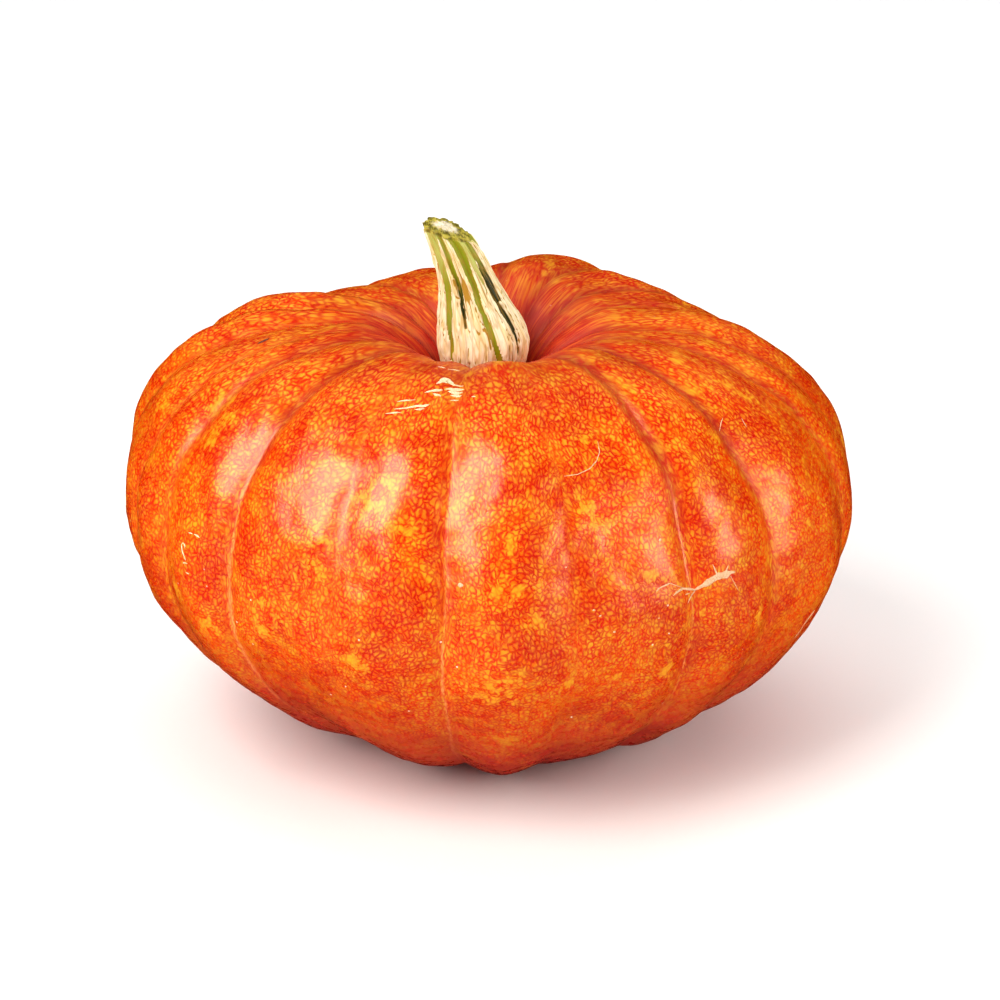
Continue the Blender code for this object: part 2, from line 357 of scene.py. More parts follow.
def fruitPoints(azimuth, station):
    # the smooth body moved along its profile's normal by the ribs and a fine unevenness
    step = 0.001
    radius, height = bodyProfile(azimuth, station)
    radiusAfter, heightAfter = bodyProfile(azimuth, np.minimum(station + step, 4))
    radiusBefore, heightBefore = bodyProfile(azimuth, np.maximum(station - step, -1))
    outwards, upwards = radiusAfter - radiusBefore, heightAfter - heightBefore
    length = np.maximum(np.hypot(outwards, upwards), 1e-9)
    smooth = np.stack([radius * np.cos(azimuth), radius * np.sin(azimuth), height], axis=-1)
    turned = azimuth + fruit["wander"] * rollingNoise(smooth, fruit["wanderLength"], seed=11)
    relief = ribRelief(azimuth, station)
    relief = relief + fruit["broadUneven"] * rollingNoise(smooth, fruit["broadLength"], seed=12)
    relief = relief + fruit["fineUneven"] * rollingNoise(smooth, fruit["fineLength"], seed=13)
    wrinkles = latticeNoise(azimuth / (2 * math.pi), 0.3 + 0 * station + station / 6,
                            fruit["wrinkleColumns"], fruit["wrinkleRows"], seed=14)
    inHollow = easeBetween(1.35, 0.8, station) * easeBetween(0.02, 0.3, station)
    relief = relief + fruit["wrinkle"] * (wrinkles - 0.5) * inHollow
    relief = relief * easeBetween(-0.1, 0.1, station)
    radius = radius - upwards / length * relief
    height = np.maximum(height + outwards / length * relief - fruit["flatCut"], 0)
    shift = fruit["seatOffset"] * np.interp(station, (0, 1, 2), (1, 0.5, 0))
    x = fruit["axis"][0] + shift + radius * np.cos(turned)
    y = fruit["axis"][1] + radius * np.sin(turned)
    return np.stack([x, y, height], axis=-1)


def fruitNormals(azimuth, station):
    # the cross product of a small step around and a small step down the skin, facing outwards
    step = 0.002
    around = fruitPoints(azimuth + step, station) - fruitPoints(azimuth - step, station)
    down = fruitPoints(azimuth, station + step) - fruitPoints(azimuth, station - step)
    normal = np.cross(down, around)
    return normal / np.linalg.norm(normal, axis=-1, keepdims=True)


rind = {
    "cell": linearColour("E8A618"), "deepCell": linearColour("E87408"),
    "upperCell": linearColour("F6AC30"), "line": linearColour("DA2600"),
    "darkLine": linearColour("C41200"), "blotch": linearColour("EEA81E"),
    "paleLine": linearColour("F4A45C"),
    # groove: dull red painted into the upper grooves as shade and a dull reflection in the crease
    "groove": linearColour("A83420"), "speck": linearColour("FFE6D2"),
    # the first three are painted shade that darkens the top, the hollow and the belly, where the skin
    # is also a deeper red; the last is a painted reflection of the floor, a veil over the belly
    "crown": linearColour("ECE4D8"), "hollow": linearColour("F4946E"),
    "belly": linearColour("D88C80"), "paintedReflection": linearColour("BC6066"),
    # stations at which each of them, the riper cells and the long strokes begin and are full
    "crownStations": (1.3, 1.0), "hollowStations": (1.0, 0.5), "bellyStations": (2.05, 2.75),
    "paintedReflectionStations": (2.1, 2.7), "paintedReflectionShare": 0.28,
    "ripeStations": (1.75, 1.25), "ripeShare": 0.8, "strokeStations": (1.10, 0.70),
    # metres from the groove at which strokes, dull red painted shade and reflection, and pale line
    # begin and are full
    "strokeReach": (0.0045, 0.0015), "redReach": (0.0048, 0.0004), "lineReach": (0.0014, 0.0005),
    "reachWobble": 0.0008, "blotchEdge": (0.66, 1.60),  # where a blotch begins and is full
    "swirlScale": 60.0, "swirlReach": 0.006, "netScale": 570.0, "netLine": 0.40, "strokeLine": 0.36,
    "stretch": (1.25, 0.5, 0.0),  # across and along the meridian, for the strokes at the grooves
    "roughness": 0.28, "specular": 0.5, "grooveRoughness": 0.04, "hollowRoughness": 0.3,
    "bumpStrength": 0.35, "bumpDistance": 0.00012,
    # blotches seen from the front: azimuth, station, radius in millimetres
    "blotches": (
        (-90.6, 2.11, 6.5), (-86.9, 2.06, 4), (-71.5, 1.67, 6), (-72.5, 1.60, 4.5),
        (-88.5, 1.81, 5), (-85.5, 1.82, 4), (-111.8, 1.58, 7), (-108, 1.54, 4), (-110.8, 2.06, 5),
        (-127.9, 1.94, 4.5), (-125, 1.97, 3.5), (-153.6, 1.44, 7), (-24.5, 1.33, 5),
        (-68.7, 1.38, 4.5), (-33, 1.30, 6), (-104, 1.66, 5), (-147, 1.55, 5), (-119, 1.72, 5),
        (-63.7, 1.82, 4), (-60, 2.15, 4), (-79, 2.12, 3.5), (-88, 2.32, 5), (-119, 2.28, 4),
    ),
    "blotchCount": 230, "blotchSizes": (1.2, 5.0), "blotchSpread": 1.3,
}


def makeRind():
    # waxy cells under a red net, with blotches, grooves and flecks, and painted shade and a painted
    # reflection
    material, tree, shader = newMaterial("waxyRind", rind["roughness"], specular=rind["specular"])
    place = addNode(tree, "TexCoord", {}).outputs["Object"]
    growth = addNode(tree, "UVMap", {}, uv_map="growth").outputs["UV"]
    away, pale, red, deep = (readAttribute(tree, name) for name in ("away", "pale", "red", "deep"))
    blotchField, station = readAttribute(tree, "blotch"), readAttribute(tree, "station")
    swirled = shiftedByNoise(tree, growth, rind["swirlScale"], rind["swirlReach"])
    longer = addNode(tree, "VectorMath", {0: swirled, 1: rind["stretch"]},
                     operation="MULTIPLY").outputs[0]

    broad = useGroup(tree, "tone", place, Scale=36.0, Detail=3.0, Low=0.38, High=0.62)
    middling = useGroup(tree, "tone", swirled, Scale=230.0, Detail=3.0, Low=0.32, High=0.68)
    density = useGroup(tree, "tone", swirled, Scale=95.0, Detail=3.0, Low=0.34, High=0.60)
    breaks = useGroup(tree, "tone", swirled, Scale=800.0, Detail=1.0, Low=0.30, High=0.60)
    net = useGroup(tree, "flatNet", swirled, Scale=rind["netScale"], Wander=1.5,
                   Line=rind["netLine"])
    strokes = useGroup(tree, "flatNet", longer, Scale=rind["netScale"], Wander=2.0,
                       Line=rind["strokeLine"])

    # long strokes take over at the grooves and in the hollow
    nearGroove = calculate(tree, "MULTIPLY", remap(tree, away, *rind["strokeReach"]), deep)
    inHollow = remap(tree, station, *rind["strokeStations"])
    lengthwise = calculate(tree, "MAXIMUM", nearGroove, inHollow)
    cover = calculate(tree, "MULTIPLY_ADD", calculate(tree, "SUBTRACT", strokes, net), lengthwise, net)
    cover = calculate(tree, "MULTIPLY", cover, remap(tree, breaks, 0.0, 1.0, 0.75, 1.0))

    # a blotch eats its way outwards between the strokes
    ragged = calculate(tree, "MULTIPLY_ADD", middling, 0.8, blotchField)
    ragged = calculate(tree, "MULTIPLY_ADD", cover, -0.25, ragged)
    blotch = remap(tree, ragged, *rind["blotchEdge"])
    thinned = calculate(tree, "MULTIPLY", remap(tree, density, 0.0, 1.0, 0.80, 1.0),
                        calculate(tree, "MULTIPLY_ADD", blotch, -0.8, 1.0))

    cell = blendColours(tree, middling, rind["deepCell"], rind["cell"])
    ripe = calculate(tree, "MULTIPLY", remap(tree, station, *rind["ripeStations"]), middling)
    ripe = calculate(tree, "MULTIPLY", ripe, rind["ripeShare"])
    cell = blendColours(tree, ripe, cell, rind["upperCell"])
    redder = calculate(tree, "MULTIPLY", calculate(tree, "MULTIPLY", broad, density), 0.5)
    cell = blendColours(tree, redder, cell, rind["line"])
    cell = blendColours(tree, calculate(tree, "MULTIPLY", blotch, 0.85), cell, rind["blotch"])
    line = blendColours(tree, broad, rind["line"], rind["darkLine"])
    colour = blendColours(tree, calculate(tree, "MULTIPLY", cover, thinned), cell, line)

    # dull red of painted shade and reflection in the upper grooves, a thin pale line in the lower ones,
    # duller towards the belly
    wobble = calculate(tree, "MULTIPLY_ADD", middling, rind["reachWobble"], away)
    # painted shade and a painted dull reflection, in dull red, along the upper grooves
    grooveRedShade = calculate(tree, "MULTIPLY", remap(tree, wobble, *rind["redReach"], 0.0, 0.80), red)
    colour = blendColours(tree, grooveRedShade, colour, rind["groove"])
    broadness = calculate(tree, "DIVIDE", wobble, calculate(tree, "MAXIMUM", pale, 0.1))
    inLine = calculate(tree, "MULTIPLY", remap(tree, broadness, *rind["lineReach"], 0.0, 0.8),
                       remap(tree, pale, 0.0, 0.8))
    inLine = calculate(tree, "MULTIPLY", inLine, remap(tree, density, 0.1, 0.8, 0.25, 1.0))
    inLine = calculate(tree, "MULTIPLY", inLine, remap(tree, strokes, 0.2, 1.0, 1.0, 0.5))
    colour = blendColours(tree, inLine, colour, rind["paleLine"])
    # painted shade: the top and the hollow darker, and the belly darker, where the skin is also a
    # deeper red
    for shadedPart in ("crown", "hollow", "belly"):
        level = remap(tree, station, *rind[shadedPart + "Stations"])
        colour = blendColours(tree, level, colour, rind[shadedPart], "MULTIPLY")
    # a painted reflection of the pale floor, a pinkish veil over the belly
    paintedReflection = remap(tree, station, *rind["paintedReflectionStations"], 0.0, rind["paintedReflectionShare"])
    colour = blendColours(tree, paintedReflection, colour, rind["paintedReflection"])
    specks = useGroup(tree, "specks", place, Scale=170.0, Size=0.07, Share=0.16)
    lower = remap(tree, station, 1.7, 2.1, 0.15, 1.0)
    colour = blendColours(tree, calculate(tree, "MULTIPLY", specks, lower), colour, rind["speck"])

    roughness = remap(tree, middling, 0.0, 1.0, rind["roughness"] - 0.03, rind["roughness"] + 0.05)
    roughness = calculate(tree, "MULTIPLY_ADD", nearGroove, rind["grooveRoughness"], roughness)
    roughness = calculate(tree, "MULTIPLY_ADD", inHollow, rind["hollowRoughness"], roughness)
    height = calculate(tree, "MULTIPLY_ADD", cover, -0.35, middling)
    height = calculate(tree, "MULTIPLY_ADD", specks, 0.8, height)
    finishMaterial(tree, shader, colour, roughness, height,
                   rind["bumpStrength"], rind["bumpDistance"])
    return material


def layOut(piece, left, right, along):
    # each face's own place in the flat pattern: its two sides across, and the distance along
    quads = np.stack([
        np.stack([left[:-1], along[:-1]], axis=-1), np.stack([right[:-1], along[:-1]], axis=-1),
        np.stack([right[1:], along[1:]], axis=-1), np.stack([left[1:], along[1:]], axis=-1)], axis=-2)
    fans = [np.stack([np.stack([first[end], along[end]], axis=-1),
                      np.stack([second[end], along[end]], axis=-1),
                      np.stack([(left[end] + right[end]) / 2, along[end]], axis=-1)], axis=-2)
            for end, first, second in ((0, right, left), (-1, left, right))]
    corners = np.concatenate([part.reshape(-1, 2) for part in (quads, *fans)])
    layer = piece.data.uv_layers.new(name="growth")
    layer.uv.foreach_set("vector", corners.astype(np.float32).ravel())


def makeFruit():
    # rings of points from the dent up to the seat; each rib has its own columns, gathered
    # towards its grooves, and the first of them lies in the groove
    counts = np.round(ribWidths * fruit["columns"] / 360).astype(int)
    rib = np.repeat(np.arange(len(counts)), counts)
    within = np.arange(len(rib)) - np.repeat(np.cumsum(counts) - counts, counts)
    edges = np.stack([within, within + 1]) / counts[rib]
    edges = edges - fruit["columnGather"] * np.sin(2 * math.pi * edges) / (2 * math.pi)
    columns = np.radians(ribRows[rib, 0] + ribWidths[rib] * edges[0])
    stations = np.concatenate([
        np.linspace(upper, lower, count, endpoint=False)
        for upper, lower, count in zip(fruit["ringStations"], fruit["ringStations"][1:],
                                       fruit["ringCounts"])])[1:]
    azimuth, station = np.meshgrid(columns, stations)
    points = fruitPoints(azimuth, station)

    # the flat pattern shrinks faster than the skin towards the stalk, where its cells come out
    # larger and long, and more slowly towards the dent, where they come out finer
    axis = np.array([*fruit["axis"], 0])
    radius = np.linalg.norm((points - axis)[..., :2], axis=-1)
    shrunk = np.clip(radius.mean(axis=1, keepdims=True) / fruit["bodyRadius"], 0.05, 1)
    steps = np.linalg.norm(np.diff(points, axis=0), axis=-1).mean(axis=1, keepdims=True)
    isUpper = stations[:, None] < 2
    steps = steps * shrunk[1:] ** np.where(isUpper[1:], *fruit["patternLength"])
    along = np.concatenate([[[0]], np.cumsum(steps, axis=0)]) + 0 * azimuth
    left, right = (
        rib * fruit["patternOffset"] + (edge - 0.5) * np.radians(ribWidths[rib])
        * fruit["bodyRadius"] * shrunk ** np.where(isUpper, *fruit["patternWidth"])
        for edge in edges)

    # distance from the nearest groove, how strong the pale line in it is from the girth down, and the
    # painted red shade near the top
    across = edges[0] + 0 * station
    away = np.minimum(across, 1 - across) * np.radians(ribWidths[rib]) * radius
    begin, full, fading, end = fruit["paleStations"]
    paleRange = easeBetween(begin, full, station) * easeBetween(end, fading, station)
    nearest = nearestGroove(rib, across)
    pale = ribRows[nearest, 4] * paleRange
    red = ribRows[nearest, 5] * easeBetween(*fruit["redStations"], station)
    deep = np.clip((ribRows[nearest, 1] - fruit["deepFrom"]) / fruit["deepSpan"], 0, 1)

    # blotches: those seen from the front, then as many more at random, the same each time
    random = np.random.default_rng(21)
    rows = [(math.radians(a), s, r * mm) for a, s, r in rind["blotches"]]
    smallest, largest = rind["blotchSizes"]
    while len(rows) < rind["blotchCount"]:
        turn, level = random.uniform(-math.pi, math.pi), random.uniform(0.6, 2.9)
        rows.append((turn, level, (smallest + (largest - smallest) * random.random() ** 2) * mm))
    blotch = np.zeros_like(station)
    for turn, level, size in rows:
        centre = fruitPoints(np.array([turn]), np.array([level]))[0]
        distance = np.linalg.norm(points - centre, axis=-1)
        blotch = np.maximum(blotch, np.exp(-((distance / (rind["blotchSpread"] * size)) ** 2)))

    rings, count = station.shape
    piece = newPiece(
        "fruitSkin", withPoles(points), tubeFaces(rings, count), makeRind(), "skin", "fruit",
        away=withPoles(away), pale=withPoles(pale), red=withPoles(red), deep=withPoles(deep),
        blotch=withPoles(blotch), station=withPoles(station))
    layOut(piece, left, right, along)


makeFruit()
print("fruit made")


stalk = {
    "foot": 0.1303, "top": 0.2054, "cutRadius": 0.0096, "taper": 0.0044,
    "swell": 0.0056, "swellAt": 0.38, "swellSpread": 0.21,
    "lean": 0.0267, "leanPower": 1.27, "cutDish": 0.0015,
    "cutSlant": 0.0055, "cutTurn": math.radians(-10), "cutSlantPower": 7, "cutSlantNarrowness": 1.6,
    "furrows": (-170, -133, -108, -74, -36, 5, 42, 78, 115, 152),
    "furrowDepth": 0.0016, "furrowSharpness": 0.7, "furrowRound": 0.12,
    "columns": 260, "rings": 250, "capRings": 22,
    # green stripes left bare by the cork: azimuth, how many degrees further on it is at each
    # share of the height, degrees of half width there, and how dark the green is there
    "stripeShares": (0.0, 0.25, 0.42, 0.55, 0.70, 0.85, 1.0),
    "stripes": (
        (-170, (6, 2, 0, 0, 0, 0, 0), (0, 2, 4, 5, 7, 11, 14), (0.3, 0.4, 0.6, 0.6, 0.4, 0.3, 0.4)),
        (-133, (14, 1, -4, -4, -2, 0, 0), (5, 3, 4, 6, 9, 12, 14), (0.1, 0.3, 0.7, 0.6, 0.4, 0.1, 0.2)),
        (-108, (0, 0, 0, 0, 0, 0, 0), (0, 0, 0, 4, 6, 6, 6), (0.5, 0.5, 0.8, 1.0, 0.8, 0.3, 0.3)),
        (-74, (11, 8, 1, -3, -2, 0, 0), (3, 4, 4, 6, 8, 11, 13), (0.2, 0.5, 0.6, 0.5, 0.5, 0.5, 0.5)),
        (-54, (0, 0, 0, 0, 0, 0, 0), (0, 0, 0, 0, 2, 8, 8), (0.0, 0.0, 0.0, 0.0, 0.0, 0.0, 0.1)),
        (-36, (0, 0, 0, 0, 0, 0, 0), (0, 0, 4, 9, 12, 8, 6), (0.9, 0.9, 1.0, 1.0, 1.0, 0.6, 0.6)),
        (5, (0, 0, 0, 0, 0, 0, 0), (0, 3, 4, 6, 7, 9, 12), (0.3, 0.3, 0.7, 0.8, 0.6, 0.4, 0.4)),
        (42, (9, 4, 0, 0, 0, 0, 0), (4, 4, 5, 6, 8, 10, 14), (0.2, 0.2, 0.5, 0.7, 0.5, 0.3, 0.3)),
        (78, (0, 0, 0, 0, 0, 0, 0), (0, 0, 3, 5, 7, 9, 13), (0.3, 0.5, 0.8, 0.9, 0.6, 0.3, 0.3)),
        (115, (-8, -4, 0, 0, 0, 0, 0), (3, 4, 5, 7, 8, 11, 14), (0.1, 0.3, 0.5, 0.6, 0.5, 0.3, 0.3)),
        (152, (0, 0, 0, 0, 0, 0, 0), (0, 3, 4, 4, 6, 8, 13), (0.4, 0.4, 0.8, 0.9, 0.5, 0.2, 0.3)),
    ),
    # the share of cork low down, what it loses to the top, and the height where that begins
    "corkCover": 0.84, "coverLoss": 0.62, "coverFrom": 0.55, "stripeDrift": 5,
    "corkThickness": 0.0007, "crackDepth": 0.00045, "crumb": 0.0011, "pithUneven": 0.0006,
    "fibreRadius": 0.013, "fibreSqueeze": 0.13,
}
bark = {
    "paleGreenAndSheen": linearColour("C6CC74"), "green": linearColour("939E14"),
    "darkGreen": linearColour("1E2E06"), "cork": linearColour("FFF6D4"),
    "tanCork": linearColour("F8E0A2"), "crack": linearColour("B88E30"),
    "rim": linearColour("5E5208"), "crumb": linearColour("C8B84E"), "pith": linearColour("F6F0DC"),
    "roughness": 0.72, "dampRoughness": 0.42, "dryRoughness": 0.85,
    "bumpStrength": 0.5, "bumpDistance": 0.00018,
}


def makeBark():
    # dry cork over green stripes whose palest green is partly a painted waxy sheen, and at the cut a
    # crumbly rim round the pith
    material, tree, shader = newMaterial("corkyBark", bark["roughness"], 1.45)
    fibre = readAttribute(tree, "fibre", "Vector")
    place = addNode(tree, "TexCoord", {}).outputs["Object"]
    cork, green = readAttribute(tree, "cork"), readAttribute(tree, "green")
    crack, cut, rim = (readAttribute(tree, name) for name in ("crack", "cut", "rim"))

    mottle = useGroup(tree, "tone", place, Scale=420.0, Detail=3.0, Low=0.35, High=0.65)
    streak = useGroup(tree, "tone", fibre, Scale=900.0, Detail=3.0, Low=0.32, High=0.68)
    splits = useGroup(tree, "net", fibre, Scale=620.0, Wander=1.0, Line=0.13)
    crumbs = useGroup(tree, "specks", place, Scale=1500.0, Size=0.4, Share=0.45)

    # the palest green: partly the stripe's own colour, partly a painted waxy sheen
    fresh = blendColours(tree, remap(tree, green, 0.0, 0.5), bark["paleGreenAndSheen"], bark["green"])
    fresh = blendColours(tree, remap(tree, green, 0.5, 1.0), fresh, bark["darkGreen"])
    fresh = blendColours(tree, calculate(tree, "MULTIPLY", splits, 0.5), fresh, bark["crack"])
    dry = blendColours(tree, remap(tree, streak, 0.2, 0.95, 0.0, 0.8), bark["cork"], bark["tanCork"])
    dry = blendColours(tree, calculate(tree, "MULTIPLY", splits, 0.4), dry, bark["crack"])
    dry = blendColours(tree, remap(tree, crack, 0.25, 0.85), dry, bark["crack"])
    colour = blendColours(tree, remap(tree, cork, 0.25, 0.6), fresh, dry)
    edge = calculate(tree, "MULTIPLY", remap(tree, cork, 0.12, 0.32), remap(tree, cork, 0.62, 0.38))
    colour = blendColours(tree, calculate(tree, "MULTIPLY", edge, 0.5), colour, bark["crack"])
    end = blendColours(tree, crumbs, bark["pith"], bark["tanCork"])
    end = blendColours(tree, calculate(tree, "MULTIPLY", mottle, 0.35), end, bark["crack"])
    colour = blendColours(tree, cut, colour, end)
    rough = blendColours(tree, mottle, bark["rim"], bark["crumb"])
    colour = blendColours(tree, calculate(tree, "MULTIPLY", rim, 0.85), colour, rough)

    roughness = remap(tree, cork, 0.2, 0.7, bark["dampRoughness"], bark["dryRoughness"])
    height = calculate(tree, "MULTIPLY_ADD", splits, -0.5, streak)
    height = calculate(tree, "MULTIPLY_ADD", crumbs, 0.3, height)
    finishMaterial(tree, shader, colour, roughness, height,
                   bark["bumpStrength"], bark["bumpDistance"])
    return material


def makeStalk():
    # rings that swell, lean and carry furrows and cork, then rings drawn in over the ragged cut
    across, along = np.meshgrid(
        np.arange(stalk["columns"]) / stalk["columns"],
        np.concatenate([np.linspace(0, 1, stalk["rings"]),
                        1 + np.linspace(0, 0.97, stalk["capRings"] + 1)[1:]]))
    azimuth = 2 * math.pi * across - math.pi
    share, inset = np.clip(along, 0, 1), np.clip(along - 1, 0, 1)

    # furrows: the arch between two furrow azimuths, rounded at the bottom
    starts = np.array(stalk["furrows"], dtype=float)
    widths = np.diff(np.append(starts, starts[0] + 360))
    turned = np.mod(np.degrees(azimuth) - starts[0], 360) + starts[0]
    ridge = np.clip(np.searchsorted(starts, turned, side="right") - 1, 0, len(starts) - 1)
    arch = np.sin(math.pi * (turned - starts[ridge]) / widths[ridge])
    arch = np.sqrt(arch**2 + stalk["furrowRound"] ** 2) / math.hypot(1, stalk["furrowRound"])
    furrow = stalk["furrowDepth"] * (1 - arch ** stalk["furrowSharpness"])

    # cork: it covers all but the stripes, thins out towards the top, and ends in ragged flakes
    streaks = latticeNoise(across, along / 2, 46, 12, seed=31)
    flakes = latticeNoise(across, along / 2, 90, 44, seed=32)
    wobble = 0.5 * streaks + 0.3 * flakes + 0.2 * latticeNoise(across, along / 2, 24, 20, seed=33)
    bare, green = np.zeros_like(share), np.zeros_like(share)
    for turn, shifts, halfWidths, darkness in stalk["stripes"]:
        drift = stalk["stripeDrift"] * (latticeNoise(across, along / 2, 6, 20, seed=34) - 0.5)
        drift = drift - np.interp(share, stalk["stripeShares"], shifts)
        gap = np.abs(np.mod(turned - turn + drift + 180, 360) - 180)
        half = np.interp(share, stalk["stripeShares"], halfWidths)
        here = easeBetween(1.35, 0.65, gap / np.maximum(half, 0.01)) * easeBetween(0.5, 2, half)
        green = np.where(here > bare, np.interp(share, stalk["stripeShares"], darkness), green)
        bare = np.maximum(bare, here)
    cover = stalk["corkCover"] - stalk["coverLoss"] * easeBetween(stalk["coverFrom"], 1.0, share)
    cork = easeBetween(-0.05, 0.06, cover - 1.25 * bare + 1.6 * (wobble - 0.5))
    cork = cork * easeBetween(1.0, 0.96, share * (inset == 0) + (inset > 0))
    lines = latticeNoise(across, along / 2, 90, 11, seed=35)
    crack = easeBetween(0.90, 0.99, 1 - np.abs(2 * lines - 1)) * easeBetween(0.4, 0.7, flakes + 0.2)
    coarse = latticeNoise(across, along / 2, 44, 6, seed=36)
    crack = np.maximum(crack, easeBetween(0.955, 0.99, 1 - np.abs(2 * coarse - 1)))

    # the end: crumbs stand up round the rim and the middle is dished
    crumbs = latticeNoise(across, along / 2, 34, 60, seed=37)
    small = latticeNoise(across, along / 2, 80, 120, seed=38)
    rim = easeBetween(0.955, 0.985, share) * easeBetween(0.60, 0.35, inset)
    ragged = rim * stalk["crumb"] * (crumbs + 0.6 * small - 1.35)
    swelling = np.exp(-(((share - stalk["swellAt"]) / stalk["swellSpread"]) ** 2))
    radius = stalk["cutRadius"] + stalk["taper"] * (1 - share) + stalk["swell"] * swelling
    thickness = stalk["corkThickness"] * (cork * (0.6 + 0.8 * flakes) - 0.55)
    radius = radius - furrow + thickness - stalk["crackDepth"] * crack * cork
    radius = (radius + 0.35 * ragged * (inset == 0)) * (1 - inset)

    lean = stalk["lean"] * np.maximum(share - stalk["swellAt"], 0) ** stalk["leanPower"]
    height = stalk["foot"] + (stalk["top"] - stalk["foot"]) * share
    lowSide = ((1 + np.cos(azimuth - stalk["cutTurn"])) / 2) ** stalk["cutSlantNarrowness"]
    height = height - stalk["cutSlant"] * share ** stalk["cutSlantPower"] * lowSide * (1 - inset)
    height = height - stalk["cutDish"] * inset + ragged
    height = height + stalk["pithUneven"] * (small - 0.5) * (inset > 0.05)
    points = np.stack([
        fruit["axis"][0] + fruit["seatOffset"] - lean + radius * np.cos(azimuth),
        fruit["axis"][1] + radius * np.sin(azimuth), height], axis=-1)

    # fibre runs round and up the stalk, squeezed along it so that the pattern comes out long
    fibre = np.stack([
        stalk["fibreRadius"] * np.cos(azimuth), stalk["fibreRadius"] * np.sin(azimuth),
        stalk["fibreSqueeze"] * (height - stalk["foot"])], axis=-1)
    cut = easeBetween(0.30, 0.45, inset)
    rings, count = share.shape
    return newPiece(
        "stalkBark", withPoles(points), tubeFaces(rings, count), makeBark(), "bark", "stalk",
        fibre=withPoles(fibre), cork=withPoles(cork), green=withPoles(green),
        crack=withPoles(crack * cork), cut=withPoles(cut), rim=withPoles(rim))


makeStalk()
print("stalk made")


